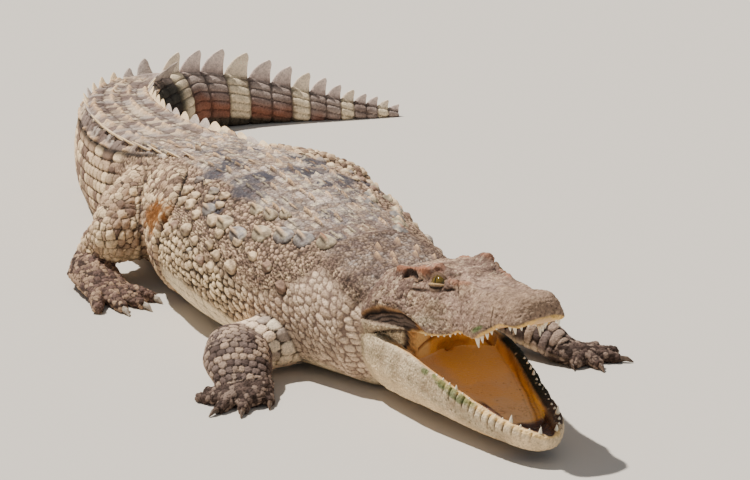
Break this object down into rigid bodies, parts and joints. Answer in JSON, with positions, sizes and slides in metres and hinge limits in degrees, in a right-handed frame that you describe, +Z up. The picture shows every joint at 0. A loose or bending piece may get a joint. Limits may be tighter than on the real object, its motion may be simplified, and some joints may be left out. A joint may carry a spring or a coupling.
{
  "type": "crocodile figure",
  "caption": "Life-size resting crocodile with its mouth wide open, legs sprawled and tail curled round behind it, posed as a still museum model.",
  "frame": {"origin": "middle of the underside of the whole, on the floor", "axes": "-Y the way the trunk and head point, +Y towards the curled tail, +X the animal's left, +Z up"},
  "size_m": [1.1922, 2.377, 0.2854],
  "materials": {
    "hide": "dry horny scales, grey-brown with cream bumps",
    "head_hide": "rough bony skin, mauve-brown",
    "tail_hide": "dry keeled scales, brown with cream bands",
    "belly_hide": "smooth cream scales",
    "mouth": "moist orange flesh",
    "eyeball": "wet, olive-gold with a dark slit",
    "claw": "dark brown horn"
  },
  "bodies": {
    "root": {"belly": "hide", "chest": "hide", "claw_foot_left_1": "claw", "claw_foot_left_2": "claw", "claw_foot_left_3": "claw", "claw_foot_right_1": "claw", "claw_foot_right_2": "claw", "claw_foot_right_3": "claw", "claw_hand_left_1": "claw", "claw_hand_left_2": "claw", "claw_hand_left_3": "claw", "claw_hand_right_1": "claw", "claw_hand_right_2": "claw", "claw_hand_right_3": "claw", "eye_left": "eyeball", "eye_right": "eyeball", "foot_left": "hide", "foot_right": "hide", "forearm_left": "hide", "forearm_right": "hide", "hand_left": "hide", "hand_right": "hide", "head": "head_hide", "lower_jaw": "belly_hide", "mouth_lining": "mouth", "neck": "hide", "pelvis": "hide", "shin_left": "hide", "shin_right": "hide", "tail_1": "tail_hide", "tail_2": "tail_hide", "tail_3": "tail_hide", "tail_4": "tail_hide", "tail_5": "tail_hide", "tail_6": "tail_hide", "thigh_left": "hide", "thigh_right": "hide", "tongue": "mouth", "upper_arm_left": "hide", "upper_arm_right": "hide"}
  },
  "joints": []
}
